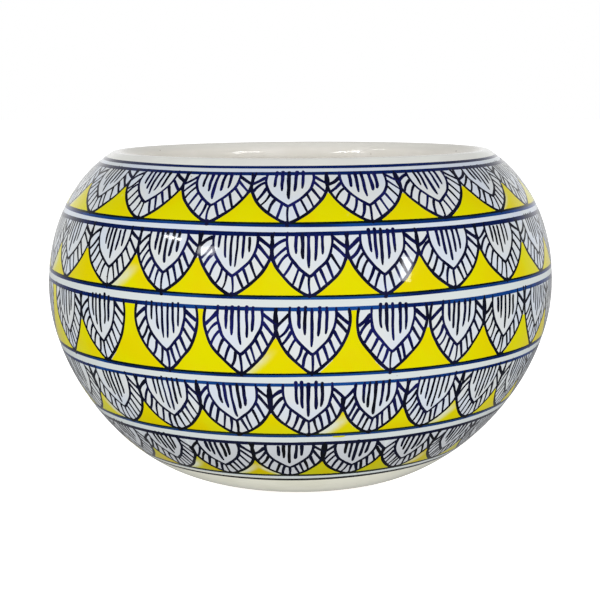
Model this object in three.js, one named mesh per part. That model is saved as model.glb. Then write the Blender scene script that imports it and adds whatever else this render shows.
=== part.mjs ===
// A round-bellied glazed ceramic planter with a drain hole, a lift-out rubber stopper and four foot pads.
// Millimetres, +Z up. The origin is the middle of the surface that the planter stands on.
import * as THREE from 'three';

const DEGREE = Math.PI / 180;

// Driving dimensions of the ceramic body. Its heights are counted from the face of the foot ring.
const BELLY_RADIUS = 100;
const BELLY_HEIGHT = 75;
const BODY_HEIGHT = 128;
const MOUTH_RADIUS = 73;
const SHOULDER_SLOPE = 34 * DEGREE;
const FOOT_RADIUS = 42.5;
const FOOT_SLOPE = 10 * DEGREE;
const WALL_THICKNESS = 6.5;
const FLOOR_THICKNESS = 6;
const FOOT_RING_WIDTH = 11;
const FOOT_RECESS = 2.5;
const DRAIN_RADIUS = 8;

// Fullness of the outline: how far each curve runs along its end directions, as a share of its span.
const FOOT_FULLNESS = 0.5;
const LOWER_BELLY_FULLNESS = 0.44;
const UPPER_BELLY_FULLNESS = 0.44;
const SHOULDER_FULLNESS = 0.84;

// Rubber foot pads, stuck to the middle of the foot ring.
const PAD_COUNT = 4;
const PAD_THICKNESS = 1.5;
const PAD_MARGIN = 1;
const PAD_ROUNDING = 0.4;

// Rubber stopper: a shank in the drain hole, a flange on the floor and a pull knob.
const SHANK_CLEARANCE = 0.3;
const SHANK_TAPER = 0.5;
const SHANK_RECESS = 1;
const FLANGE_OVERLAP = 4.5;
const FLANGE_THICKNESS = 2.4;
const NECK_RADIUS = 2.2;
const NECK_HEIGHT = 1.6;
const KNOB_RADIUS = 3.6;

// Divisions of each round stretch.
const BODY_SIDES = 80;
const SMALL_SIDES = 32;
const LOWER_STEPS = 10;
const UPPER_STEPS = 8;
const LIP_STEPS = 6;
const KNOB_STEPS = 8;
const ROUNDING_STEPS = 2;

// Levels above the standing surface.
const FOOT_LEVEL = PAD_THICKNESS;
const UNDERSIDE_LEVEL = FOOT_LEVEL + FOOT_RECESS;
const FLOOR_LEVEL = UNDERSIDE_LEVEL + FLOOR_THICKNESS;
const BELLY_LEVEL = FOOT_LEVEL + BELLY_HEIGHT;
const RIM_LEVEL = FOOT_LEVEL + BODY_HEIGHT;

const GLAZE = new THREE.MeshStandardMaterial({ color: 0xe1e4e1, roughness: 0.15, metalness: 0 });
const PAD_RUBBER = new THREE.MeshStandardMaterial({ color: 0xc9c9c4, roughness: 0.8, metalness: 0 });
const STOPPER_RUBBER = new THREE.MeshStandardMaterial({ color: 0x2b2b2c, roughness: 0.7, metalness: 0 });

function point(radius, height) {
  return new THREE.Vector2(radius, height);
}

// A solid of revolution about the vertical axis from a closed profile, or one that ends on the axis.
function turned(profile, sides) {
  const geometry = new THREE.LatheGeometry(profile, sides);
  geometry.rotateX(Math.PI / 2);
  return geometry;
}

function arc(centre, radius, from, to, steps) {
  const clockwise = to < from;
  return new THREE.EllipseCurve(centre.x, centre.y, radius, radius, from, to, clockwise).getPoints(steps);
}

// The outer outline from the foot to the widest circle.
function lowerOutline() {
  const handle = FOOT_FULLNESS * (BELLY_RADIUS - FOOT_RADIUS);
  const foot = point(FOOT_RADIUS, FOOT_LEVEL);
  const footHandle = point(Math.cos(FOOT_SLOPE), Math.sin(FOOT_SLOPE)).multiplyScalar(handle).add(foot);
  const bellyHandle = point(BELLY_RADIUS, BELLY_LEVEL - LOWER_BELLY_FULLNESS * BELLY_HEIGHT);
  return new THREE.CubicBezierCurve(foot, footHandle, bellyHandle, point(BELLY_RADIUS, BELLY_LEVEL));
}

// The outer outline from the widest circle to where the round lip begins.
function upperOutline(lipStart) {
  const rise = BODY_HEIGHT - BELLY_HEIGHT;
  const handle = SHOULDER_FULLNESS * (BELLY_RADIUS - MOUTH_RADIUS);
  const outward = point(Math.cos(SHOULDER_SLOPE), -Math.sin(SHOULDER_SLOPE));
  const bellyHandle = point(BELLY_RADIUS, BELLY_LEVEL + UPPER_BELLY_FULLNESS * rise);
  const lipHandle = outward.multiplyScalar(handle).add(lipStart);
  return new THREE.CubicBezierCurve(point(BELLY_RADIUS, BELLY_LEVEL), bellyHandle, lipHandle, lipStart);
}

// Points of a curve moved inwards by the wall thickness, square to the curve.
function insideOf(curve, steps) {
  return curve.getPoints(steps).map((onCurve, step) => {
    const along = curve.getTangent(step / steps);
    return point(-along.y, along.x).multiplyScalar(WALL_THICKNESS).add(onCurve);
  });
}

// Where the inner wall, listed from the mouth down, meets the flat floor.
function wallFoot(innerWall) {
  const below = innerWall.findIndex((onWall) => onWall.y <= FLOOR_LEVEL);
  const upper = innerWall[below - 1];
  const share = (upper.y - FLOOR_LEVEL) / (upper.y - innerWall[below].y);
  return upper.clone().lerp(innerWall[below], share);
}

function potBody() {
  const lipRadius = WALL_THICKNESS / 2;
  const lipCentre = point(MOUTH_RADIUS, RIM_LEVEL - lipRadius);
  const lip = arc(lipCentre, lipRadius, 90 * DEGREE - SHOULDER_SLOPE, 270 * DEGREE - SHOULDER_SLOPE, LIP_STEPS);
  const lower = lowerOutline();
  const upper = upperOutline(lip[0]);
  const innerUpper = insideOf(upper, UPPER_STEPS).reverse();
  const innerLower = insideOf(lower, LOWER_STEPS).reverse();
  const innerWall = [...innerUpper.slice(1), ...innerLower.slice(1)];
  const ringInside = FOOT_RADIUS - FOOT_RING_WIDTH;
  const profile = [
    ...lower.getPoints(LOWER_STEPS),
    ...upper.getPoints(UPPER_STEPS).slice(1),
    ...lip.slice(1),
    ...innerWall.filter((onWall) => onWall.y > FLOOR_LEVEL),
    wallFoot(innerWall),
    point(DRAIN_RADIUS, FLOOR_LEVEL),
    point(DRAIN_RADIUS, UNDERSIDE_LEVEL),
    point(ringInside, UNDERSIDE_LEVEL),
    point(ringInside, FOOT_LEVEL),
    point(FOOT_RADIUS, FOOT_LEVEL),
  ];
  return turned(profile, BODY_SIDES);
}

function footPad() {
  const radius = FOOT_RING_WIDTH / 2 - PAD_MARGIN;
  const edge = point(radius - PAD_ROUNDING, PAD_ROUNDING);
  const profile = [
    point(0, 0),
    ...arc(edge, PAD_ROUNDING, -90 * DEGREE, 0, ROUNDING_STEPS),
    point(radius, PAD_THICKNESS),
    point(0, PAD_THICKNESS),
  ];
  return turned(profile, SMALL_SIDES);
}

// The stopper's own height zero is the underside of its flange.
function drainStopper() {
  const shankRadius = DRAIN_RADIUS - SHANK_CLEARANCE;
  const shankLength = FLOOR_THICKNESS - SHANK_RECESS;
  const flangeRadius = DRAIN_RADIUS + FLANGE_OVERLAP;
  const flangeEdge = point(flangeRadius - FLANGE_THICKNESS / 2, FLANGE_THICKNESS / 2);
  const knobFoot = Math.asin(NECK_RADIUS / KNOB_RADIUS);
  const knobCentre = point(0, FLANGE_THICKNESS + NECK_HEIGHT + KNOB_RADIUS * Math.cos(knobFoot));
  const profile = [
    point(0, -shankLength),
    point(shankRadius - SHANK_TAPER, -shankLength),
    point(shankRadius, 0),
    ...arc(flangeEdge, FLANGE_THICKNESS / 2, -90 * DEGREE, 90 * DEGREE, KNOB_STEPS),
    point(NECK_RADIUS, FLANGE_THICKNESS),
    ...arc(knobCentre, KNOB_RADIUS, knobFoot - 90 * DEGREE, 90 * DEGREE, KNOB_STEPS),
  ];
  return turned(profile, SMALL_SIDES);
}

function addPiece(group, name, geometry, material) {
  const mesh = new THREE.Mesh(geometry, material);
  mesh.name = name;
  group.add(mesh);
  return mesh;
}

const planter = new THREE.Group();

addPiece(planter, 'pot_body', potBody(), GLAZE);
addPiece(planter, 'drain_stopper', drainStopper(), STOPPER_RUBBER).position.z = FLOOR_LEVEL;

const padCircle = FOOT_RADIUS - FOOT_RING_WIDTH / 2;
for (let index = 0; index < PAD_COUNT; index += 1) {
  const angle = (360 / PAD_COUNT) * (index + 0.5) * DEGREE;
  const pad = addPiece(planter, `foot_pad_${index + 1}`, footPad(), PAD_RUBBER);
  pad.position.set(padCircle * Math.cos(angle), padCircle * Math.sin(angle), 0);
}

export default planter;
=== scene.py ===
"""The looks of a round glazed planter with five painted bands of hanging petals.

Sizes are in metres. Angles go round the pot from the side that faces the camera, positive to the right.
"""

import math
import random
from bisect import bisect_left

import bpy
from mathutils import Matrix, Vector, noise


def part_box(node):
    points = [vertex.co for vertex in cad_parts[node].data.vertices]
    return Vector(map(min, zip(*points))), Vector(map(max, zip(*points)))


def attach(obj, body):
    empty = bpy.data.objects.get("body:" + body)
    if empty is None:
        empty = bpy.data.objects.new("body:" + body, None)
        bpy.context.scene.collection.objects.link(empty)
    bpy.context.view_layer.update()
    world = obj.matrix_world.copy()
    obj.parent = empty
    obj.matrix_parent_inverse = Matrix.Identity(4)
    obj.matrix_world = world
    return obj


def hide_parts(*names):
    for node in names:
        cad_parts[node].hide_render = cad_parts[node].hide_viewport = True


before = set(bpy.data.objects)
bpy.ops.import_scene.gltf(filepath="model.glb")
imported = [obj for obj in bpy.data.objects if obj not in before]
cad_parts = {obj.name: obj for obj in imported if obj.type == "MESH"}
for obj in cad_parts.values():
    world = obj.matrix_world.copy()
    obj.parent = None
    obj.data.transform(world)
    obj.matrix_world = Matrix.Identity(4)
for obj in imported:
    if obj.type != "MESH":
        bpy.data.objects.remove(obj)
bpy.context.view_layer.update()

MM = 0.001
TURN = 2 * math.pi

# The pot's outline, as the CAD body has it
body_low, body_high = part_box("pot_body")
FOOT_LEVEL = body_low.z
RIM_LEVEL = body_high.z
BELLY_RADIUS = body_high.x
BELLY_LEVEL = FOOT_LEVEL + 75 * MM
MOUTH_RADIUS = 73 * MM
FOOT_RADIUS = 42.5 * MM
FOOT_RING_WIDTH = 11 * MM
FOOT_RECESS = 2.5 * MM
FLOOR_THICKNESS = 6 * MM
DRAIN_RADIUS = 8 * MM
WALL = 6.5 * MM
LIP_DEPTH = 5.2 * MM
LIP_BLEND = 13 * MM
SHOULDER_SLOPE = math.radians(34)
FOOT_SLOPE = math.radians(10)
FOOT_FULLNESS = 0.5
BELLY_FULLNESS = 0.44
SHOULDER_FULLNESS = 0.84
UNDERSIDE_LEVEL = FOOT_LEVEL + FOOT_RECESS
FLOOR_LEVEL = UNDERSIDE_LEVEL + FLOOR_THICKNESS

# Fineness of the glazed surface
AROUND = 288
LOWER_STEPS = 64
UPPER_STEPS = 44
LIP_STEPS = 14

# Painted rings, in millimetres: height above the foot, width, how much higher each runs at the pot's sides.
# The last entry is its ink.
RINGS = {
    "ring_mouth": (125.2, 1.55, 0.7, "navy"),
    "ring_1_top": (123.2, 1.85, 0.7, "navy"),
    "ring_1_bottom": (107.3, 2.25, 0.7, "royal"),
    "ring_2_top": (104.3, 1.75, 0.7, "navy"),
    "ring_2_bottom": (84.0, 2.0, 0.2, "royal"),
    "ring_3_top": (80.0, 1.65, 0.4, "royal"),
    "ring_3_bottom": (57.4, 2.0, -0.7, "royal"),
    "ring_4_top": (53.8, 1.5, -0.7, "royal"),
    "ring_4_bottom": (33.9, 2.5, -0.9, "royal"),
    "ring_5_top": (30.2, 2.0, -0.8, "navy"),
    "ring_5_bottom": (14.8, 2.0, 0.0, "black"),
    "ring_foot": (12.4, 2.1, 0.0, "black"),
}

# Hand work: the pot leans to the left (rise per distance to the right), its foot was set to the left, and
# its wall swells by tenths of a millimetre, twice and three times on the way round.
LEAN = 0.0063
LEAN_START = 9 * MM
FOOT_OFFSET = 0.5 * MM
FOOT_OFFSET_FADE = (10 * MM, 45 * MM)
SWELL_TWICE = 0.22
SWELL_THRICE = 0.12
SWELL_START = 20 * MM
SHOULDER_DRAWN_IN = 0.6 * MM

# The lower rings were drawn a little askew: rise at the right side, per height below the level of true rings.
# All rings waver a little, in millimetres, and their width varies by a share.
SKEW = 0.019
TRUE_LEVEL = 80
RING_WAVERS = (0.08, 0.05)
RING_UNEVENNESS = 0.2

# Petal bands. The petals stand evenly round the pot but for the painter's drift, which crowds one side of it,
# and for the slip of the hand at each petal. Angles in degrees, from the petal nearest the camera.
BANDS = {
    1: dict(petals=20, nearest=-2.0, sway=-2.1, crowding=-1.7, seed=132875, widest=1.25, veins=1.0, ink=1.06),
    2: dict(petals=24, nearest=1.9, sway=0.5, crowding=0.2, seed=99362, widest=1.25, veins=1.02, ink=1.04),
    3: dict(petals=24, nearest=2.9, sway=0.2, crowding=-4.2, seed=30100, widest=0.93, veins=1.0, ink=1.06),
    4: dict(petals=24, nearest=1.3, sway=-0.8, crowding=-6.7, seed=102066, widest=1.25, veins=1.15, ink=1.06),
    5: dict(petals=22, nearest=-2.7, sway=0.0, crowding=-5.0, seed=10924, widest=1.25, veins=1.05, ink=1.17),
}
SLIP = 1.3


def cubic(corners, share):
    """A point of the cubic curve with these four corners."""
    rest = 1 - share
    weights = (rest**3, 3 * rest**2 * share, 3 * rest * share**2, share**3)
    return tuple(sum(w * c[k] for w, c in zip(weights, corners)) for k in (0, 1))


def smooth_step(value, low, high):
    share = min(max((value - low) / (high - low), 0), 1)
    return share * share * (3 - 2 * share)


class Outline:
    """The outside of the wall from the foot to the start of the lip, by length along it."""

    def __init__(self):
        lip = WALL / 2
        lip_start = (
            MOUTH_RADIUS + lip * math.sin(SHOULDER_SLOPE),
            RIM_LEVEL - lip + lip * math.cos(SHOULDER_SLOPE),
        )
        foot_run = FOOT_FULLNESS * (BELLY_RADIUS - FOOT_RADIUS)
        lip_run = SHOULDER_FULLNESS * (BELLY_RADIUS - MOUTH_RADIUS)
        belly = (BELLY_RADIUS, BELLY_LEVEL)
        lower = (
            (FOOT_RADIUS, FOOT_LEVEL),
            (FOOT_RADIUS + foot_run * math.cos(FOOT_SLOPE), FOOT_LEVEL + foot_run * math.sin(FOOT_SLOPE)),
            (BELLY_RADIUS, BELLY_LEVEL - BELLY_FULLNESS * (BELLY_LEVEL - FOOT_LEVEL)),
            belly,
        )
        upper = (
            belly,
            (BELLY_RADIUS, BELLY_LEVEL + BELLY_FULLNESS * (RIM_LEVEL - BELLY_LEVEL)),
            (
                lip_start[0] + lip_run * math.cos(SHOULDER_SLOPE),
                lip_start[1] - lip_run * math.sin(SHOULDER_SLOPE),
            ),
            lip_start,
        )
        self.points = [cubic(lower, k / LOWER_STEPS) for k in range(LOWER_STEPS)]
        self.points += [cubic(upper, k / UPPER_STEPS) for k in range(UPPER_STEPS + 1)]
        self.lengths = [0.0]
        for near, far in zip(self.points, self.points[1:]):
            self.lengths.append(self.lengths[-1] + math.dist(near, far))
        self.normals = [self.normal(k) for k in range(len(self.points))]
        self.heights = [point[1] for point in self.points]

    def normal(self, index):
        before = self.points[max(index - 1, 0)]
        after = self.points[min(index + 1, len(self.points) - 1)]
        span = math.dist(before, after)
        return (after[1] - before[1]) / span, (before[0] - after[0]) / span

    def at(self, length):
        """Radius, height and outward direction at this length along the outline."""
        index = min(max(bisect_left(self.lengths, length), 1), len(self.lengths) - 1)
        start, end = self.lengths[index - 1], self.lengths[index]
        share = (length - start) / (end - start)
        below = self.points[index - 1] + self.normals[index - 1]
        above = self.points[index] + self.normals[index]
        return [low + (high - low) * share for low, high in zip(below, above)]

    def length_at(self, height):
        """Length along the outline at a height above the foot, in millimetres as the rings are listed."""
        level = FOOT_LEVEL + height * MM
        index = bisect_left(self.heights, level)
        low, high = self.heights[index - 1], self.heights[index]
        share = (level - low) / (high - low)
        return self.lengths[index - 1] + share * (self.lengths[index] - self.lengths[index - 1])


OUTLINE = Outline()


class Ring:
    """A painted ring: where its line runs on the wall at each angle."""

    def __init__(self, name):
        height, width, side_rise, self.ink = RINGS[name]
        self.length = OUTLINE.length_at(height)
        self.width = width * MM
        self.side_rise = side_rise * MM
        self.skew = SKEW * max(TRUE_LEVEL - height, 0) * MM
        self.phase = random.Random(name).uniform(0, TURN)

    def at(self, angle):
        """Length along the outline where the line runs."""
        bow = self.side_rise * math.sin(angle) ** 2
        slow = RING_WAVERS[0] * MM * math.sin(5 * angle + self.phase)
        quick = RING_WAVERS[1] * MM * math.sin(9 * angle + 2 * self.phase)
        return self.length + bow + self.skew * math.sin(angle) + (slow + quick)

    def width_at(self, travel):
        """The line's width after this much travel round the pot."""
        turn = travel / BELLY_RADIUS
        uneven = noise.noise(Vector((math.cos(turn), math.sin(turn), self.phase)) * 2.2)
        return self.width * (1 + RING_UNEVENNESS * uneven)


PAINTED_RINGS = {name: Ring(name) for name in RINGS}


def swell(angle, height):
    """How far the hand-shaped wall stands out of the true round form."""
    grown = smooth_step(height, FOOT_LEVEL, FOOT_LEVEL + SWELL_START)
    to_shoulder = smooth_step(height, BELLY_LEVEL + 5 * MM, RIM_LEVEL - 25 * MM)
    to_lip = smooth_step(height, RIM_LEVEL - 16 * MM, RIM_LEVEL)
    uneven = SWELL_TWICE * math.sin(2 * angle + 0.8) + SWELL_THRICE * math.sin(3 * angle + 2.1 + 9 * height)
    return grown * uneven * MM - SHOULDER_DRAWN_IN * (to_shoulder - to_lip)


def thrown(angle, radius, height):
    """Where a point of the true round form lies on this pot, which was shaped by hand and leans a little."""
    wide = radius + swell(angle, height)
    side = wide * math.sin(angle)
    offset = FOOT_OFFSET * (1 - smooth_step(height, *FOOT_OFFSET_FADE))
    rise = LEAN * side * smooth_step(height, 0, LEAN_START)
    return Vector((side - offset, -wide * math.cos(angle), height + rise))


def on_glaze(angle, length, lift):
    """A point on the painted side of the wall, raised off it by lift, and the wall's outward direction."""
    radius, height, out_radius, out_height = OUTLINE.at(length)
    point = thrown(angle, radius + lift * out_radius, height + lift * out_height)
    nudge = 0.01
    slope = (swell(angle + nudge, height) - swell(angle - nudge, height)) / (2 * nudge * radius)
    sine, cosine = math.sin(angle), math.cos(angle)
    outward = Vector((sine - slope * cosine, -cosine - slope * sine, 0)) * out_radius
    outward += Vector((-LEAN * out_height, 0, out_height))
    return point, outward.normalized()


def add_object(name, data):
    added = bpy.data.objects.new(name, data)
    bpy.context.scene.collection.objects.link(added)
    return added


def new_piece(name, points, faces, materials, body="planter", outwards=None):
    """A smooth mesh object that rides on a CAD body. With outwards it shines as the wall under it does."""
    mesh = bpy.data.meshes.new(name)
    mesh.from_pydata(points, [], faces)
    mesh.shade_smooth()
    if outwards:
        mesh.normals_split_custom_set_from_vertices(outwards)
    for material in materials:
        mesh.materials.append(material)
    piece = add_object(name, mesh)
    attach(piece, body)
    return piece


def turned(profile, sides, place):
    """Points and faces of a surface of revolution; place puts (angle, radius, height) in space."""
    points, faces = [], []
    for radius, height in profile:
        points += [place(TURN * k / sides, radius, height) for k in range(sides)]
    for start in range(0, (len(profile) - 1) * sides, sides):
        for k in range(sides):
            low, beside = start + k, start + (k + 1) % sides
            faces.append((low, beside, beside + sides, low + sides))
    return points, faces


# Materials

# Noise scales are in features per metre
SHINE_SCALE = 90
SHINE_ROUGHNESS = (0.04, 0.09)
RIPPLE_SCALE = 55
RIPPLE = 0.15
RIPPLE_DEPTH = 0.0006
GLAZE_CLOUD_SCALE = 75
PINHOLE_SCALE = 260
PINHOLE_SIZE = 0.09
PINHOLE_FIELD_SCALE = 60
PINHOLE = (0.30, 0.23, 0.16)
STREAK_SCALE = 170
CLAY_GRAIN_SCALE = 900
RUBBER_GRAIN_SCALE = 1500
DUST_SCALE = 180
# Towards the sides of the pot the ink is blacker: painted shade
INK_SIDE_SHADE = (0.005, 0.007, 0.014)
INK_SHADE_SPAN = (30 * MM, 72 * MM)
# Between these heights the ink turns to its low tint, and the petals and the yellow to their darker ones:
# painted shade low on the pot, on the petals together with the grey of washed ink
LOW_INK_SHADE = (62 * MM, 28 * MM)
LOW_BAND_SHADE = (48 * MM, 20 * MM)


class NodeTree:
    """Adds nodes to a material or a world."""

    def __init__(self, owner):
        owner.use_nodes = True
        self.nodes = owner.node_tree.nodes
        self.links = owner.node_tree.links

    def feed(self, value, socket):
        """Gives the socket an output of another node, a tint or a number."""
        if isinstance(value, bpy.types.NodeSocket):
            self.links.new(value, socket)
        elif isinstance(value, tuple):
            socket.default_value = (*value, 1)
        else:
            socket.default_value = value

    def add(self, kind, inputs, output, **settings):
        """A node with these settings and inputs; its output of this name or number."""
        node = self.nodes.new(kind)
        for name, value in settings.items():
            setattr(node, name, value)
        for socket, value in inputs.items():
            self.feed(value, node.inputs[socket])
        return node.outputs[output]

    def math(self, operation, first, second=0.0):
        return self.add("ShaderNodeMath", {0: first, 1: second}, 0, operation=operation)

    def range(self, value, low, high, to_low=0.0, to_high=1.0):
        """value, turned smoothly from low and high to to_low and to_high."""
        inputs = {"Value": value, "From Min": low, "From Max": high, "To Min": to_low, "To Max": to_high}
        return self.add("ShaderNodeMapRange", inputs, "Result", interpolation_type="SMOOTHSTEP")


class Shader(NodeTree):
    """One principled material, built from nodes."""

    def __init__(self, name, roughness=0.1, specular=0.5):
        self.material = bpy.data.materials.new(name)
        super().__init__(self.material)
        self.surface = self.nodes["Principled BSDF"]
        self.feed(roughness, self.surface.inputs["Roughness"])
        self.feed(specular, self.surface.inputs["Specular IOR Level"])
        self.place = self.add("ShaderNodeTexCoord", {}, "Object")

    def noise(self, scale, detail=3.0, roughness=0.5):
        """Cloudy noise, with this many features per metre."""
        inputs = {"Vector": self.place, "Scale": scale, "Detail": detail, "Roughness": roughness}
        return self.add("ShaderNodeTexNoise", inputs, "Fac")

    def specks(self, scale, size):
        """Small round specks, scattered at this scale."""
        distance = self.add("ShaderNodeTexVoronoi", {"Vector": self.place, "Scale": scale}, "Distance")
        return self.range(distance, size * 0.6, size, 1.0, 0.0)

    def mix(self, factor, first, second):
        """A colour between the first and the second, each a tint or an output."""
        colours = {"Factor": factor, 6: first, 7: second}
        return self.add("ShaderNodeMix", colours, 2, data_type="RGBA")

    def along(self, axis):
        return self.add("ShaderNodeSeparateXYZ", {0: self.place}, axis)

    def colour(self, output):
        self.feed(output, self.surface.inputs["Base Color"])

    def roughness(self, output):
        self.feed(output, self.surface.inputs["Roughness"])

    def bump(self, height, strength, distance):
        inputs = {"Height": height, "Strength": strength, "Distance": distance}
        self.feed(self.add("ShaderNodeBump", inputs, "Normal"), self.surface.inputs["Normal"])

    def glazed_over(self, ripple=RIPPLE):
        """The shine of the glaze that lies over the ground and the painting alike."""
        self.roughness(self.range(self.noise(SHINE_SCALE), 0.3, 0.7, *SHINE_ROUGHNESS))
        if ripple:
            self.bump(self.noise(RIPPLE_SCALE, 2), ripple, RIPPLE_DEPTH)


def glaze(name, clear, shaded, turns=None, ripple=RIPPLE):
    """Glossy white glaze: clouds of two tints, pinholes and a slow ripple in the shine.

    With turns given as (height, height, tint), it turns to that tint between the two heights.
    """
    shader = Shader(name)
    clouds = shader.range(shader.noise(GLAZE_CLOUD_SCALE), 0.38, 0.62)
    tinted = shader.mix(clouds, clear, shaded)
    if turns:
        start, end, tint = turns
        tinted = shader.mix(shader.range(shader.along("Z"), start, end), tinted, tint)
    fields = shader.range(shader.noise(PINHOLE_FIELD_SCALE, 2), 0.58, 0.62)
    pinholes = shader.math("MULTIPLY", shader.specks(PINHOLE_SCALE, PINHOLE_SIZE), fields)
    shader.colour(shader.mix(pinholes, tinted, PINHOLE))
    shader.glazed_over(ripple)
    return shader.material


def ink(name, deep, bright, low, patches=130, side_shade_share=0.95):
    """Painted blue under the glaze: strong where the brush pressed, thin where it ran.

    Low on the pot it turns to another tint and towards its sides it turns blacker, both painted shade; the
    share for the sides says how far. patches is the noise scale of the brush pressure.
    """
    shader = Shader(name)
    pressed = shader.range(shader.noise(patches), 0.35, 0.68)
    painted = shader.mix(pressed, deep, bright)
    # Painted shade: low on the pot the ink turns to its low tint
    tinted = shader.mix(shader.range(shader.along("Z"), *LOW_INK_SHADE), painted, low)
    # Painted shade: the ink turns blacker towards the pot's sides
    sideways = shader.math("ABSOLUTE", shader.along("X"))
    sides = shader.range(sideways, *INK_SHADE_SPAN, 0.0, side_shade_share)
    shader.colour(shader.mix(sides, tinted, INK_SIDE_SHADE))
    shader.glazed_over()
    return shader.material


def enamel(name, full, pale, deep, thin, low, low_deep_shade):
    """Lemon enamel: dense in each patch, paler in spots, and washed out where the brush laid it thin."""
    shader = Shader(name)
    pale_spots = shader.range(shader.noise(60, 4, 0.6), 0.66, 0.78)
    drift = shader.range(shader.noise(70), 0.38, 0.64)
    # Painted shade: low on the pot the yellow turns to its darker low tints
    low_shade = shader.range(shader.along("Z"), *LOW_BAND_SHADE)
    coloured = shader.mix(low_shade, shader.mix(drift, full, deep), shader.mix(drift, low, low_deep_shade))
    covered = shader.mix(pale_spots, coloured, pale)
    streaks = shader.range(shader.noise(STREAK_SCALE), 0.3, 0.6, 0.55, 1.0)
    thinness = shader.add("ShaderNodeAttribute", {}, "Fac", attribute_name="thin")
    shader.colour(shader.mix(shader.math("MULTIPLY", thinness, streaks), covered, thin))
    shader.glazed_over()
    return shader.material


def biscuit(name):
    """Unglazed fired clay of the foot."""
    shader = Shader(name, roughness=0.85, specular=0.2)
    grain = shader.noise(CLAY_GRAIN_SCALE, 6, 0.7)
    shader.colour(shader.mix(shader.range(grain, 0.3, 0.7), (0.60, 0.52, 0.42), (0.74, 0.67, 0.57)))
    shader.roughness(shader.range(grain, 0.3, 0.7, 0.75, 0.95))
    shader.bump(grain, 0.5, 0.0003)
    return shader.material


def rubber(name, dark, light):
    """Moulded rubber with a fine matt grain."""
    shader = Shader(name, roughness=0.7, specular=0.3)
    grain = shader.noise(RUBBER_GRAIN_SCALE, 5, 0.6)
    dust = shader.range(shader.noise(DUST_SCALE, 4), 0.35, 0.75)
    shader.colour(shader.mix(dust, dark, light))
    shader.roughness(shader.range(grain, 0.3, 0.7, 0.6, 0.85))
    shader.bump(grain, 0.35, 0.0001)
    return shader.material


GLAZE_PAINTED = glaze(
    "glaze_painted", (0.71, 0.765, 0.80), (0.67, 0.73, 0.84), turns=(104 * MM, 84 * MM, (0.70, 0.752, 0.745))
)
# Low on the pot the petals' white turns darker: painted shade, together with the grey of washed ink
GLAZE_PETAL = glaze(
    "glaze_petal", (0.73, 0.76, 0.765), (0.685, 0.743, 0.825), turns=(*LOW_BAND_SHADE, (0.59, 0.61, 0.64))
)
GLAZE_LIP = glaze("glaze_lip", (0.87, 0.88, 0.83), (0.84, 0.84, 0.80))
# The base's glaze is warmer, and lighter than the lip's: painted light on the downward-facing base
GLAZE_BASE = glaze("glaze_base", (0.92, 0.91, 0.77), (0.88, 0.87, 0.72))
# Inside, on the edge of the lip, the glaze turns darker and brownish: painted shade
SHADED_LIP_EDGE = (RIM_LEVEL - 3.5 * MM, RIM_LEVEL - 1.5 * MM, (0.83, 0.815, 0.765))
# The inside glaze is creamy, and lighter than the glaze outside: painted light on the inner wall
GLAZE_INSIDE = glaze("glaze_inside", (0.925, 0.90, 0.85), (0.885, 0.86, 0.80), turns=SHADED_LIP_EDGE, ripple=0)
# The third tint of each ink is its low one: painted shade low on the pot
INK_NAVY = ink("ink_navy", (0.003, 0.004, 0.035), (0.010, 0.012, 0.11), (0.007, 0.009, 0.022))
INK_DEEP = ink("ink_deep", (0.004, 0.005, 0.014), (0.008, 0.009, 0.045), (0.007, 0.008, 0.010))
INK_BLUE = ink(
    "ink_blue", (0.002, 0.012, 0.10), (0.008, 0.065, 0.28), (0.012, 0.050, 0.18), patches=32, side_shade_share=0.0
)
INK_RING = ink(
    "ink_ring", (0.002, 0.007, 0.068), (0.004, 0.018, 0.12), (0.009, 0.012, 0.04), patches=32, side_shade_share=0.3
)
INK_BLACK = ink("ink_black", (0.012, 0.012, 0.015), (0.03, 0.03, 0.035), (0.02, 0.02, 0.022))
INK_OLIVE = ink(
    "ink_olive", (0.002, 0.009, 0.006), (0.008, 0.022, 0.009), (0.022, 0.036, 0.006), side_shade_share=0.3
)
ENAMEL_YELLOW = enamel(
    "enamel_yellow",
    full=(0.76, 0.71, 0.0),
    pale=(0.80, 0.79, 0.28),
    deep=(0.78, 0.66, 0.0),
    thin=(0.74, 0.77, 0.60),
    # Low on the pot the yellow turns to these darker tints: painted shade
    low=(0.56, 0.54, 0.012),
    low_deep_shade=(0.62, 0.49, 0.0),
)
CLAY = biscuit("bare_clay")
STOPPER_RUBBER = rubber("stopper_rubber", (0.012, 0.012, 0.013), (0.03, 0.03, 0.03))
PAD_RUBBER = rubber("pad_rubber", (0.50, 0.50, 0.47), (0.60, 0.60, 0.57))


# The glazed body

FLOOR_STEPS = 12
# The last rows of the profile, on the foot ring, are bare clay
CLAY_ROWS = 5


def lip_profile(wall_top):
    """Over the lip, which is round outside and fuller inside, to the top of the inner wall."""
    radius = WALL / 2
    steps = 2 * LIP_STEPS
    lip = []
    for k in range(1, steps + 1):
        turn = math.pi / 2 - SHOULDER_SLOPE + (math.pi / 2 + SHOULDER_SLOPE) * k / steps
        depth = radius if turn < math.pi / 2 else LIP_DEPTH
        lip.append((MOUTH_RADIUS + radius * math.cos(turn), RIM_LEVEL - depth * (1 - math.sin(turn))))
    under_lip = lip[-1]
    spread, fall = wall_top[0] - under_lip[0], under_lip[1] - wall_top[1]
    bend = (under_lip[0], under_lip[1] - 0.5 * fall)
    lead = (wall_top[0] - 0.5 * spread, wall_top[1] + 0.25 * fall)
    return lip + [cubic((under_lip, bend, lead, wall_top), k / LIP_STEPS) for k in range(1, LIP_STEPS)]


def inner_wall():
    """The inside of the wall, from under the lip down to the floor."""
    wall = []
    for (radius, height), (out_radius, out_height) in zip(OUTLINE.points[::-2], OUTLINE.normals[::-2]):
        inner = (radius - WALL * out_radius, height - WALL * out_height)
        if FLOOR_LEVEL + 0.4 * MM < inner[1] < RIM_LEVEL - LIP_BLEND:
            wall.append(inner)
    return wall


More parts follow.
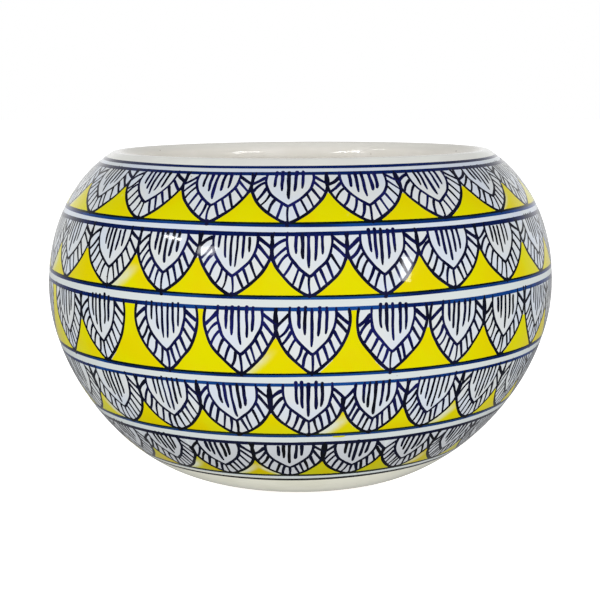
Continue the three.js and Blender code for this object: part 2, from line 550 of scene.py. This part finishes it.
def underside(floor_edge):
    """From the edge of the flat floor through the drain hole to the foot ring."""
    width = DRAIN_RADIUS + MM - floor_edge
    floor = [(floor_edge + width * k / FLOOR_STEPS, FLOOR_LEVEL) for k in range(FLOOR_STEPS + 1)]
    ring_inside = FOOT_RADIUS - FOOT_RING_WIDTH
    return floor + [
        (DRAIN_RADIUS + 0.3 * MM, FLOOR_LEVEL - 0.3 * MM),
        (DRAIN_RADIUS, FLOOR_LEVEL - MM),
        (DRAIN_RADIUS, UNDERSIDE_LEVEL + MM),
        (DRAIN_RADIUS + 0.5 * MM, UNDERSIDE_LEVEL),
        (0.5 * (DRAIN_RADIUS + ring_inside), UNDERSIDE_LEVEL),
        (ring_inside - 0.8 * MM, UNDERSIDE_LEVEL),
        (ring_inside, UNDERSIDE_LEVEL - 0.8 * MM),
        (ring_inside + 0.2 * MM, FOOT_LEVEL + 0.5 * MM),
        (ring_inside + 0.8 * MM, FOOT_LEVEL),
        (0.5 * (ring_inside + FOOT_RADIUS), FOOT_LEVEL),
        (FOOT_RADIUS - 0.6 * MM, FOOT_LEVEL),
    ]


def body_material(row, rows):
    """The material of a row of faces, counted from the foot's outer edge over the lip."""
    painted_from = OUTLINE.length_at(RINGS["ring_foot"][0])
    painted_to = OUTLINE.length_at(RINGS["ring_mouth"][0])
    outside_rows = len(OUTLINE.lengths)
    if row >= rows - CLAY_ROWS:
        return CLAY
    if row > outside_rows + LIP_STEPS // 2:
        return GLAZE_INSIDE
    if row >= outside_rows or OUTLINE.lengths[row] >= painted_to:
        return GLAZE_LIP
    return GLAZE_PAINTED if OUTLINE.lengths[row] > painted_from else GLAZE_BASE


def pot_body():
    wall = inner_wall()
    profile = OUTLINE.points + lip_profile(wall[0]) + wall + underside(wall[-1][0] - 1.5 * MM)
    points, faces = turned(profile + profile[:1], AROUND, thrown)
    count = len(profile) * AROUND
    faces = [tuple(index % count for index in face) for face in faces]
    materials = [GLAZE_PAINTED, GLAZE_LIP, CLAY, GLAZE_INSIDE, GLAZE_BASE]
    piece = new_piece("glazed_body", points[:count], faces, materials)
    rows = [materials.index(body_material(row, len(profile))) for row in range(len(profile))]
    for polygon in piece.data.polygons:
        polygon.material_index = rows[polygon.index // AROUND]
    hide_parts("pot_body")


# Paint

# Where paint dips under the glaze, as a share of its lift
SUNK = -0.5
# Across a stroke: shares of its half width and of its lift
SECTION = ((-1.0, SUNK), (-0.62, 0.8), (0.0, 1.0), (0.62, 0.8), (1.0, SUNK))
STROKE_SPACING = 0.9 * MM
STROKE_UNEVENNESS = 0.22
STROKE_FINENESS = 40


def turn_between(start, end):
    """The shorter way round from one angle to another."""
    return (end - start + math.pi) % TURN - math.pi


def wall_distance(near, far):
    radius = OUTLINE.at(near[1])[0]
    return math.hypot(turn_between(near[0], far[0]) * radius, far[1] - near[1])


class Paint:
    """Paint on the wall, gathered into one mesh. Its edges dip under the glaze.

    The glaze lies flush over the painting, so the paint takes the wall's own shine.
    """

    def __init__(self, lift, materials):
        self.lift = lift
        self.materials = materials
        self.points = []
        self.outwards = []
        self.faces = []
        # The number of each face's material, where there is more than one
        self.tones = []

    def dab(self, angle, length, rise):
        point, outward = on_glaze(angle, length, self.lift * rise)
        self.points.append(point)
        self.outwards.append(outward)

    def join(self, start, rows, across, closed=False):
        """Faces between rows of this many points across, the first of them at start."""
        for row in range(rows if closed else rows - 1):
            near = start + row * across
            far = start + (row + 1) % rows * across
            for k in range(across - 1):
                self.faces.append((near + k, far + k, far + k + 1, near + k + 1))

    def piece(self, name):
        made = new_piece(name, self.points, self.faces, self.materials, outwards=self.outwards)
        if self.tones:
            made.data.polygons.foreach_set("material_index", self.tones)
        return made


class Coats(Paint):
    def lay(self, rows):
        """A coat through these rows of places, each an (angle, length)."""
        self.join(len(self.points), len(rows), len(rows[0]))
        for row, places in enumerate(rows):
            for column, (angle, length) in enumerate(places):
                edge = column in (0, len(places) - 1) or row in (0, len(rows) - 1)
                self.dab(angle, length, SUNK if edge else 1.0)


class Strokes(Paint):
    def add(self, path, width_at, closed=False, tones=(0, 0, 0, 0)):
        """path is a list of (angle, length); width_at gives the stroke's width after some travel along it."""
        count = len(path)
        self.join(len(self.points), count, len(SECTION), closed)
        self.tones += tones * (count if closed else count - 1)
        travel = 0.0
        for index, (angle, length) in enumerate(path):
            before = path[index - 1] if closed or index else path[0]
            after = path[(index + 1) % count] if closed else path[min(index + 1, count - 1)]
            radius = OUTLINE.at(length)[0]
            run = Vector((turn_between(before[0], after[0]) * radius, after[1] - before[1])).normalized()
            if index:
                travel += wall_distance(path[index - 1], path[index])
            half = width_at(travel) / 2
            sunk = not closed and index in (0, count - 1)
            for side, rise in SECTION:
                reach = side * half
                self.dab(angle - run.y * reach / radius, length + run.x * reach, SUNK if sunk else rise)

    def draw(self, curve, width, taper, tone, seed, lifted=0.5):
        """A free stroke along curve(share), with a taper and the hand's unevenness.

        It starts round and ends as the brush was lifted: round at 0.5, in a point at 1 or 2 widths.
        """
        fine = [curve(k / STROKE_FINENESS) for k in range(STROKE_FINENESS + 1)]
        reached = [0.0]
        for near, far in zip(fine, fine[1:]):
            reached.append(reached[-1] + wall_distance(near, far))
        whole = reached[-1]
        cap = min(0.5 * width, 0.3 * whole)
        end = min(lifted * width, 0.4 * whole)
        body = whole - cap - end
        steps = max(2, round(body / STROKE_SPACING))
        stops = [cap * k for k in (0.0, 0.12, 0.4)]
        stops += [cap + body * k / steps for k in range(steps + 1)]
        stops += [whole - end * k for k in (0.4, 0.12, 0.0)]

        def width_at(travel):
            inset = min(travel / cap, (whole - travel) / end, 1)
            rounding = max(math.sqrt(max(1 - (1 - inset) ** 2, 0)), 0.15)
            lean = taper[0] + (taper[1] - taper[0]) * travel / whole
            uneven = 1 + STROKE_UNEVENNESS * noise.noise(Vector((travel / (4 * MM), seed, 0.37)))
            return width * rounding * lean * uneven

        path = []
        index = 0
        for stop in stops:
            while index < len(reached) - 2 and reached[index + 1] < stop:
                index += 1
            share = (stop - reached[index]) / max(reached[index + 1] - reached[index], 1e-9)
            near, far = fine[index], fine[index + 1]
            path.append((near[0] + (far[0] - near[0]) * share, near[1] + (far[1] - near[1]) * share))
        self.add(path, width_at, tones=(tone,) * 4)


# Petals

# Half outlines of a petal as curve corners, in shares of its half width and height: outer, inner
ROUND_PETAL = (
    ((0.94, 0.0), (1.216, 0.457), (0.485, 0.84), (0.0, 1.0)),
    ((0.60, 0.0), (0.70, 0.37), (0.30, 0.53), (0.0, 0.69)),
)
POINTED_PETAL = (
    ((0.95, 0.0), (1.216, 0.44), (0.47, 0.80), (0.0, 1.0)),
    ((0.60, 0.0), (0.70, 0.36), (0.30, 0.53), (0.0, 0.69)),
)
FULL_PETAL = (
    ((0.95, 0.0), (1.25, 0.56), (0.47, 0.92), (0.0, 1.01)),
    ((0.62, 0.0), (0.74, 0.38), (0.30, 0.56), (0.0, 0.71)),
)
PETAL_SHAPES = {1: ROUND_PETAL, 2: ROUND_PETAL, 3: POINTED_PETAL, 4: FULL_PETAL, 5: FULL_PETAL}
OVERSHOOT = 0.045
# Chance that the outlines between two petals start a little below the ring, and this far along them
BARE_TOPS = {1: 0.0, 2: 0.0, 3: 0.0, 4: 0.1, 5: 0.6}
BARE_SHARE = 0.16
# Strokes of the border, from the top of a petal to its tip: how far along the inner outline each starts and
# how far along the outer one it ends, on the left and on the right
LEFT_BORDER = ((0.07, 0.20), (0.20, 0.34), (0.35, 0.46), (0.52, 0.58), (0.70, 0.71), (0.86, 0.83))
RIGHT_BORDER = ((0.05, 0.17), (0.17, 0.31), (0.34, 0.46), (0.52, 0.60), (0.70, 0.72), (0.86, 0.82))
# Veins: where each hangs across the petal and how far down it ends
VEINS = ((-0.36, 0.31), (-0.20, 0.41), (-0.03, 0.54), (0.17, 0.42), (0.34, 0.35))
SIX_VEINS = ((-0.42, 0.26), (-0.26, 0.38), (-0.09, 0.50), (0.08, 0.52), (0.24, 0.40), (0.40, 0.30))
# Where the painter started the veins of a petal: mostly on the ring, at times above or below it
VEIN_TOPS = (-0.035, -0.02, -0.02, -0.01, 0.0, -0.06, 0.03)
# Where the dab at the tip ends: mostly on the ring, at times past it
TIP_ENDS = (0.995, 1.005, 1.01, 1.02, 1.03, 1.05)
OUTLINE_WIDTH = 1.37 * MM
BORDER_WIDTH = 1.36 * MM
VEIN_WIDTH = 1.5 * MM
# Petals that stand closer than this are left white between
TOUCHING = 1.9 * MM
INK_LIFT = 0.06 * MM
RING_LIFT = 0.055 * MM
ENAMEL_LIFT = 0.032 * MM
GROUND_LIFT = 0.022 * MM
# Chance of thin yellow at the left and right of a patch, on the upper bands and on the last two
THIN_CHANCES = (0.12, 0.06)
LOW_THIN_CHANCES = (0.36, 0.26)
NAVY, DEEP = 0, 1
DEEP_CHANCE = 0.3
SIX_VEINS_CHANCE = 0.1
SPILL_CHANCE = 0.05
HAND_SEED = 100
GROUND_ROWS = 16
GROUND_COLUMNS = 14
ENAMEL_STEPS = 20


class Petal:
    """One painted petal: where it hangs and how the hand drew it."""

    def __init__(self, band, centre, rooms, hand):
        self.centre = centre
        plan = BANDS[band]
        self.half = math.pi / plan["petals"]
        self.top = PAINTED_RINGS[f"ring_{band}_top"]
        self.bottom = PAINTED_RINGS[f"ring_{band}_bottom"]
        self.outer, self.inner = PETAL_SHAPES[band]
        self.vein_reach = plan["veins"]
        self.ink = plan["ink"]
        self.bare = {}
        self.hand = hand
        self.sides = {}
        for side, room in zip((-1, 1), rooms):
            self.sides[side] = min(room / self.half, plan["widest"]) * hand.uniform(0.995, 1.04)
        self.inner_size = hand.uniform(0.96, 1.03)
        self.top_shift = hand.uniform(-0.04, 0.04)
        self.waver = hand.uniform(0, 50)
        self.vein_top = hand.choice(VEIN_TOPS)

    def place(self, across, down):
        """Angle and length along the wall, from shares of the petal's half width and height."""
        across += self.top_shift * (1 - down) ** 2
        angle = self.centre + across * self.half
        top = self.top.at(angle)
        return angle, top + (self.bottom.at(angle) - top) * down

    def edge(self, side, share, corners, size=1.0):
        """A point of one half outline, with the hand's waver."""
        across, down = cubic(corners, share)
        waver = 0.035 * noise.noise(Vector((self.waver + side, share * 4, 0.5)))
        return side * (across + waver * math.sin(math.pi * share)) * self.sides[side] * size, down

    def edge_at(self, side, down, corners, size=1.0):
        """The same half outline, by how far down it is."""
        low, high = 0.0, 1.0
        for _ in range(18):
            middle = (low + high) / 2
            if cubic(corners, middle)[1] < down:
                low = middle
            else:
                high = middle
        return self.edge(side, low, corners, size)


def petal_outlines(petal, strokes):
    hand = petal.hand
    outlines = ((petal.outer, 1.0, DEEP, 1.0), (petal.inner, petal.inner_size, NAVY, 0.92))
    for side in (-1, 1):
        for corners, size, tone, weight in outlines:
            rise = hand.uniform(0.2, 1.0) * OVERSHOOT
            first = BARE_SHARE if petal.bare[side] and tone == DEEP else 0.0

            def curve(share):
                share = first + (1 - first) * share
                across, down = petal.edge(side, share, corners, size)
                past_tip = -0.03 * side * max(share - 0.94, 0) / 0.06
                return petal.place(across + past_tip, down - rise * (1 - share) ** 6)

            strokes.draw(curve, weight * petal.ink * OUTLINE_WIDTH, (0.92, 1.1), tone, hand.uniform(0, 99))


def petal_border(petal, strokes):
    """The short strokes between the two outlines, fanned round the tip."""
    hand = petal.hand
    for side, border in ((-1, LEFT_BORDER), (1, RIGHT_BORDER)):
        for index, (leaves, meets) in enumerate(border):
            start = petal.edge(side, leaves + hand.uniform(-0.015, 0.015), petal.inner, petal.inner_size)
            end = petal.edge(side, meets + hand.uniform(-0.02, 0.02), petal.outer)
            border_stroke(petal, strokes, start, end, 1.2 if index == 0 else 1.0)
    border_stroke(petal, strokes, (hand.uniform(-0.02, 0.02), 0.68), (hand.uniform(-0.03, 0.03), 0.96), 0.9)


def border_stroke(petal, strokes, start, end, strength):
    hand = petal.hand
    bow = hand.uniform(-0.03, 0.03)
    pull = hand.uniform(-0.02, 0.05)

    def curve(share):
        along = share - pull * (1 - share)
        bend = bow * math.sin(math.pi * share)
        across, down = (near + (far - near) * along + bend for near, far in zip(start, end))
        return petal.place(across, down)

    weight = hand.uniform(0.85, 1.12) * BORDER_WIDTH * strength * (0.6 + 0.4 * petal.ink)
    tone = DEEP if hand.random() < DEEP_CHANCE else NAVY
    strokes.draw(curve, weight, (1.12, 0.8), tone, hand.uniform(0, 99))


def petal_veins(petal, strokes):
    """The hanging strokes inside the petal."""
    hand = petal.hand
    veins = SIX_VEINS if hand.random() < SIX_VEINS_CHANCE else VEINS
    thin = 5 / len(veins)
    for across, foot in veins:
        top = petal.vein_top + hand.uniform(-0.02, 0.015)
        foot = foot * petal.vein_reach + hand.uniform(-0.03, 0.03)
        lean = hand.uniform(-0.02, 0.03)
        hook = hand.uniform(-0.01, 0.06) * (-1 if across > 0.05 else 1)

        def curve(share):
            waver = 0.016 * noise.noise(Vector((petal.waver, across * 9, share * 3)))
            return petal.place(across + lean * share + waver + hook * share**6, top + (foot - top) * share)

        weight = hand.uniform(0.88, 1.1) * VEIN_WIDTH * thin * (0.5 + 0.5 * petal.ink)
        tone = DEEP if hand.random() < 0.35 else NAVY
        strokes.draw(curve, weight, (1.0, 1.0), tone, hand.uniform(0, 99), lifted=hand.uniform(0.8, 2.0))


def petal_tip(petal, strokes):
    """The dark dab where the two outlines run together on the ring."""
    reach = petal.hand.choice(TIP_ENDS)
    for start, width in ((0.93, 1.7 * MM), (0.945, 3.0 * MM)):

        def curve(share):
            return petal.place(0.0, start + (reach - start) * share)

        strokes.draw(curve, width, (0.9, 0.7), DEEP, petal.waver, lifted=0.9)


def petal_gap(left, right, down):
    """The two sides of the gap between petals, this far down, and the angle from one to the other."""
    down = min(down, 0.995)
    low = left.place(*left.edge_at(1, down, left.outer))
    high = right.place(*right.edge_at(-1, down, right.outer))
    return low, high, turn_between(low[0], high[0])


def parting(left, right):
    """How far down two petals part."""
    top, step = 0.7, 0.02
    while top > 0.01:
        least = TOUCHING if top < 0.4 else OUTLINE_WIDTH
        if petal_gap(left, right, top - step)[2] * BELLY_RADIUS <= least:
            break
        top -= step
    return top


def enamel_patch(left, right, coats, thin_chances):
    """Yellow between two petals, from where they part to the ring. Returns how thin it is at each point.

    Beside some petals the brush missed a sliver or laid the colour thin.
    """
    hand = left.hand
    missed = [hand.uniform(0.4, 1.1) * MM * (hand.random() < 0.35) for _ in range(2)]
    thin = [hand.uniform(0.6, 1.0) * (hand.random() < chance) for chance in thin_chances]
    reach = [hand.uniform(3.0, 8.0) * MM for _ in range(2)]
    top = parting(left, right)
    rows, thinness = [], []
    for row in range(ENAMEL_STEPS + 1):
        down = top + (1 - top) * row / ENAMEL_STEPS
        low, high, gap = petal_gap(left, right, down)
        inset = [miss * smooth_step(down, 0.6, 0.85) / BELLY_RADIUS for miss in missed]
        places = []
        for column in range(ENAMEL_STEPS + 1):
            share = column / ENAMEL_STEPS
            angle = low[0] + inset[0] + (gap - inset[0] - inset[1]) * share
            places.append((angle, low[1] + (high[1] - low[1]) * share))
            spans = (share * gap * BELLY_RADIUS, (1 - share) * gap * BELLY_RADIUS)
            fades = [thin[k] * (1 - smooth_step(spans[k], 0.2 * reach[k], reach[k])) for k in (0, 1)]
            thinness.append(max(fades) * smooth_step(down, 0.55, 0.8))
        rows.append(places)
    coats.lay(rows)
    return thinness


def petal_ground(petal, coats):
    """The white under a petal, as far as the middle of its outer outline."""
    rows = []
    for row in range(GROUND_ROWS + 1):
        down = 0.02 + 0.95 * row / GROUND_ROWS
        low, high = (petal.edge_at(side, down, petal.outer)[0] for side in (-1, 1))
        columns = range(GROUND_COLUMNS + 1)
        rows.append([petal.place(low + (high - low) * k / GROUND_COLUMNS, down) for k in columns])
    coats.lay(rows)


def petal_centres(band):
    """Angles of a band's petals, the nearest first and then round to the right."""
    plan = BANDS[band]
    slips = random.Random(plan["seed"])
    centres = []
    for index in range(plan["petals"]):
        regular = TURN * index / plan["petals"]
        drift = plan["sway"] * math.sin(regular) + plan["crowding"] * (1 - math.cos(regular))
        centres.append(regular + math.radians(plan["nearest"] + drift + slips.uniform(-SLIP, SLIP)))
    return centres


def neighbours(petals):
    """Each petal with the next one to its right."""
    return zip(petals, petals[1:] + petals[:1])


def hung_petals(band, hand):
    """The petals of a band, each with room up to halfway to its neighbours."""
    centres = petal_centres(band)
    spaces = [(right - left) % TURN for left, right in neighbours(centres)]
    rooms = [(spaces[k - 1] / 2, spaces[k] / 2) for k in range(len(centres))]
    petals = [Petal(band, centre, room, hand) for centre, room in zip(centres, rooms)]
    for left, right in neighbours(petals):
        left.bare[1] = right.bare[-1] = hand.random() < BARE_TOPS[band]
    return petals


def painted_band(band):
    hand = random.Random(HAND_SEED + band)
    petals = hung_petals(band, hand)
    strokes = Strokes(INK_LIFT, [INK_NAVY, INK_DEEP])
    for petal in petals:
        petal_outlines(petal, strokes)
        petal_border(petal, strokes)
        petal_veins(petal, strokes)
        petal_tip(petal, strokes)
    strokes.piece(f"petals_{band}")
    grounds = Coats(GROUND_LIFT, [GLAZE_PETAL])
    for petal in petals:
        petal_ground(petal, grounds)
    grounds.piece(f"grounds_{band}")
    enamel_patches(band, petals)
    spilt_enamel(band, petals, hand)


def enamel_patches(band, petals):
    coats = Coats(ENAMEL_LIFT, [ENAMEL_YELLOW])
    thinness = []
    for left, right in neighbours(petals):
        thinness += enamel_patch(left, right, coats, LOW_THIN_CHANCES if band > 3 else THIN_CHANCES)
    patches = coats.piece(f"yellow_{band}")
    patches.data.attributes.new("thin", "FLOAT", "POINT").data.foreach_set("value", thinness)


def spilt_enamel(band, petals, hand):
    """Yellow that ran out under the ring here and there."""
    strokes = Strokes(ENAMEL_LIFT, [ENAMEL_YELLOW])
    for petal in petals:
        if hand.random() > SPILL_CHANCE:
            continue
        start = petal.centre + petal.half * hand.uniform(0.3, 0.8)
        run = hand.uniform(3.0, 6.5) * MM / BELLY_RADIUS
        under = 0.5 * petal.bottom.width - 0.1 * MM

        def curve(share):
            angle = start + run * share
            return angle, petal.bottom.at(angle) - under

        strokes.draw(curve, hand.uniform(0.8, 1.4) * MM, (0.8, 1.0), 0, hand.uniform(0, 99), lifted=2.0)
    if strokes.points:
        strokes.piece(f"spilt_yellow_{band}")


def painted_rings():
    """The rings. Where a ring closes a band, the yellow under its upper half turns the ink olive."""
    inks = {"navy": INK_RING, "royal": INK_BLUE, "black": INK_BLACK}
    for name, ring in PAINTED_RINGS.items():
        path = [(TURN * k / AROUND, ring.at(TURN * k / AROUND)) for k in range(AROUND)]
        strokes = Strokes(RING_LIFT, [inks[ring.ink], INK_OLIVE])
        tones = (0, 0, 1, 1) if "bottom" in name else (0, 0, 0, 0)
        strokes.add(path, ring.width_at, closed=True, tones=tones)
        strokes.piece(name)


# Rubber pieces


# Turned pieces start this far from their axis
AXIS_GAP = 0.05 * MM
SHANK_CLEARANCE = 0.3 * MM
SHANK_TAPER = 0.5 * MM
FLANGE_THICKNESS = 2.4 * MM
NECK_RADIUS = 2.2 * MM
KNOB_RADIUS = 3.6 * MM
STOPPER_ROUNDING = 1.3 * MM
PAD_ROUNDING = 0.4 * MM


def plain_place(angle, radius, height):
    return Vector((radius * math.cos(angle), radius * math.sin(angle), height))


def rounded(corners, radius, steps=5):
    """A profile of (radius, height) corners with each inner corner rounded off."""
    profile = [corners[0]]
    for before, corner, after in zip(corners, corners[1:], corners[2:]):
        before, corner, after = Vector(before), Vector(corner), Vector(after)
        reach = min(radius, (before - corner).length / 2, (after - corner).length / 2)
        start = corner + (before - corner).normalized() * reach
        end = corner + (after - corner).normalized() * reach
        for k in range(steps + 1):
            share = k / steps
            point = start * (1 - share) ** 2 + corner * 2 * share * (1 - share) + end * share**2
            profile.append((point.x, point.y))
    profile.append(corners[-1])
    return profile


def drain_stopper():
    """A shank in the drain hole, a flange with a shallow groove, and a knob."""
    low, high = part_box("drain_stopper")
    shank = DRAIN_RADIUS - SHANK_CLEARANCE
    flange, flange_top = high.x, FLOOR_LEVEL + FLANGE_THICKNESS
    corners = [
        (AXIS_GAP, low.z),
        (shank - SHANK_TAPER, low.z),
        (shank, FLOOR_LEVEL - 0.2 * MM),
        (shank + 0.1 * MM, FLOOR_LEVEL),
        (flange, FLOOR_LEVEL),
        (flange, flange_top),
        (flange - 2.2 * MM, flange_top),
        (flange - 2.9 * MM, FLOOR_LEVEL + 1.9 * MM),
        (flange - 4.0 * MM, flange_top),
        (NECK_RADIUS, flange_top),
        (NECK_RADIUS, high.z - 5.6 * MM),
        (KNOB_RADIUS, high.z - 4.6 * MM),
        (KNOB_RADIUS, high.z),
        (AXIS_GAP, high.z),
    ]
    points, faces = turned(rounded(corners, STOPPER_ROUNDING), 96, plain_place)
    piece = new_piece("rubber_stopper", points, faces, [STOPPER_RUBBER], body="stopper")
    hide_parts("drain_stopper")


def foot_pads():
    for number in range(1, 5):
        node = f"foot_pad_{number}"
        low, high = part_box(node)
        centre = (low + high) / 2
        radius = (high.x - low.x) / 2
        corners = [(AXIS_GAP, low.z), (radius, low.z), (radius, high.z), (AXIS_GAP, high.z)]

        def place(angle, reach, height):
            return Vector((centre.x + reach * math.cos(angle), centre.y + reach * math.sin(angle), height))

        points, faces = turned(rounded(corners, PAD_ROUNDING), 48, place)
        piece = new_piece(f"rubber_pad_{number}", points, faces, [PAD_RUBBER])
        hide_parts(node)


# Studio

CAMERA_DISTANCE = 0.5228
CAMERA_HEIGHT = 0.1529
CAMERA_PITCH = math.radians(9.17)
FOCAL_LENGTH_PIXELS = 1306
PICTURE_WIDTH_PIXELS = 600
SENSOR_WIDTH = 36
LIGHT_DISTANCE = 1.6
POT_MIDDLE = (0, 0, 0.07)
WINDOW_AZIMUTHS = (-65.6, -62.4, -58.6)
WINDOW_ELEVATION = 28.3
BACKDROP_BRIGHTNESS = 1.0
ROOM_BRIGHTNESS = 0.02
TABLE_SHARE = 0.28
CEILING_SHARE = 0.45
TENT_BRIGHTNESS = 1.08
FLOOR_REACH = 6.0
FLOOR_GLOW = 0.62
# The tent's brightness by height of the direction, and what it has more towards the front
TENT = ((-1.0, 0.29), (-0.5, 1.0), (-0.15, 0.66), (0.2, 0.69), (0.55, 0.97), (1.0, 0.10))
FRONT_SHARE = 0.43


def camera():
    data = bpy.data.cameras.new("camera")
    data.sensor_width = SENSOR_WIDTH
    data.lens = SENSOR_WIDTH * FOCAL_LENGTH_PIXELS / PICTURE_WIDTH_PIXELS
    data.clip_start = 0.01
    view = add_object("camera", data)
    upright = Matrix.Rotation(math.pi / 2 - CAMERA_PITCH, 4, "X")
    view.matrix_world = Matrix.Translation((0, -CAMERA_DISTANCE, CAMERA_HEIGHT)) @ upright
    bpy.context.scene.camera = view


def far(azimuth, elevation):
    """A place round the pot, in degrees from the camera's side."""
    turn, lift = math.radians(azimuth), math.radians(elevation)
    towards = Vector((math.sin(turn) * math.cos(lift), -math.cos(turn) * math.cos(lift), math.sin(lift)))
    return Vector(POT_MIDDLE) + towards * LIGHT_DISTANCE


def soft_box(name, place, size, brightness, target=POT_MIDDLE, roll=0, glossy=True, lighting=True):
    """A soft light at this place that faces the target. Size in metres, roll in degrees.

    Without lighting it is only a reflection in the glaze, and without glossy only a light.
    """
    data = bpy.data.lights.new(name, "AREA")
    data.shape = "RECTANGLE"
    data.size, data.size_y = size
    data.energy = brightness * size[0] * size[1] * math.pi
    light = add_object(name, data)
    facing = (Vector(target) - Vector(place)).to_track_quat("-Z", "Y").to_matrix()
    turned_round = facing @ Matrix.Rotation(math.radians(roll), 3, "Z")
    light.matrix_world = Matrix.Translation(place) @ turned_round.to_4x4()
    light.visible_glossy = glossy
    light.visible_diffuse = lighting
    light.visible_camera = False


class World(NodeTree):
    """The world's brightness, built from the direction that a ray takes."""

    def __init__(self, name):
        self.world = bpy.data.worlds.new(name)
        super().__init__(self.world)
        direction = self.add("ShaderNodeTexCoord", {}, "Generated")
        self.away = self.add("ShaderNodeSeparateXYZ", {0: direction}, "Y")
        self.up = self.add("ShaderNodeSeparateXYZ", {0: direction}, "Z")

    def ramp(self, stops):
        """Brightness by the height of the direction, from a list of (height, brightness) up to 1."""
        position = self.add("ShaderNodeMapRange", {"From Min": -1.0, "Value": self.up}, "Result")
        node = self.nodes.new("ShaderNodeValToRGB")
        for index, (level, share) in enumerate(stops):
            stop = node.color_ramp.elements[index] if index < 2 else node.color_ramp.elements.new(1.0)
            stop.position = (level + 1) / 2
            stop.color = (share, share, share, 1)
        self.feed(position, node.inputs["Fac"])
        return node.outputs["Color"]

    def choose(self, kind, otherwise, value):
        """value for this kind of ray."""
        chosen = self.add("ShaderNodeLightPath", {}, kind)
        return self.add("ShaderNodeMix", {"Factor": chosen, "A": otherwise, "B": value}, "Result")


def surroundings():
    """A white tent that lights the pot, a little more from the front than all round.

    The gloss mirrors a white backdrop, a dim room in front, a dim table and a dim ceiling.
    """
    world = World("tent")
    front = world.math("MAXIMUM", world.math("MULTIPLY", world.away, -1.0), 0.0)
    from_front = world.math("MULTIPLY", world.math("MULTIPLY", front, front), FRONT_SHARE)
    tent = world.math("ADD", world.ramp(TENT), from_front)
    light = world.math("MULTIPLY", tent, TENT_BRIGHTNESS)
    backdrop = world.range(world.away, 0.3, 0.95, ROOM_BRIGHTNESS, BACKDROP_BRIGHTNESS)
    over_table = world.math("MULTIPLY", backdrop, world.range(world.up, -0.3, 0.15, TABLE_SHARE, 1.0))
    mirrored = world.math("MULTIPLY", over_table, world.range(world.up, 0.1, 0.5, 1.0, CEILING_SHARE))
    strength = world.choose("Is Glossy Ray", light, mirrored)
    strength = world.choose("Is Camera Ray", strength, BACKDROP_BRIGHTNESS)
    background = world.nodes["Background"]
    world.feed((1, 1, 1), background.inputs["Color"])
    world.feed(strength, background.inputs["Strength"])
    bpy.context.scene.world = world.world


def floor():
    corners = [(x * FLOOR_REACH, y * FLOOR_REACH, 0) for x, y in ((-1, -1), (1, -1), (1, 1), (-1, 1))]
    mesh = bpy.data.meshes.new("floor")
    mesh.from_pydata(corners, [], [(0, 1, 2, 3)])
    piece = add_object("floor", mesh)
    shader = Shader("floor_paper", roughness=0.9, specular=0.1)
    shader.colour(shader.mix(shader.noise(30), (0.93, 0.93, 0.93), (0.95, 0.95, 0.95)))
    shader.feed((1, 1, 1), shader.surface.inputs["Emission Color"])
    shader.feed(FLOOR_GLOW, shader.surface.inputs["Emission Strength"])
    mesh.materials.append(shader.material)
    piece.visible_glossy = False
    piece.visible_diffuse = False
    piece.visible_shadow = False


def studio():
    camera()
    surroundings()
    floor()
    for pane, azimuth in enumerate(WINDOW_AZIMUTHS):
        soft_box(f"window_pane_{pane}", far(azimuth, WINDOW_ELEVATION), (0.045, 0.03), 60)
    soft_box("lamp_right", far(46, 12), (0.13, 0.36), 8, roll=-16)
    soft_box("lamp_left", far(-43, 24), (0.20, 0.13), 9)
    soft_box("mouth_fill", (0, 0.02, 0.116), (0.04, 0.01), 2.2, (0, 0.07, 0.113), glossy=False)
    # Two lights over the mouth make the glints inside its far side
    over_right, over_left = (0.0344, -0.0111, 0.1525), (-0.0355, -0.0140, 0.1450)
    left_glint, right_glint = (-0.0233, 0.0661, 0.1253), (0.0215, 0.0662, 0.1251)
    soft_box("rim_light_right", over_right, (0.022, 0.006), 17, left_glint, roll=20, lighting=False)
    soft_box("rim_light_left", over_left, (0.026, 0.007), 19, right_glint, roll=-20, lighting=False)
    bpy.context.scene.view_settings.view_transform = "Standard"
    bpy.context.scene.view_settings.look = "None"


pot_body()
for band_number in BANDS:
    painted_band(band_number)
painted_rings()
drain_stopper()
foot_pads()
studio()
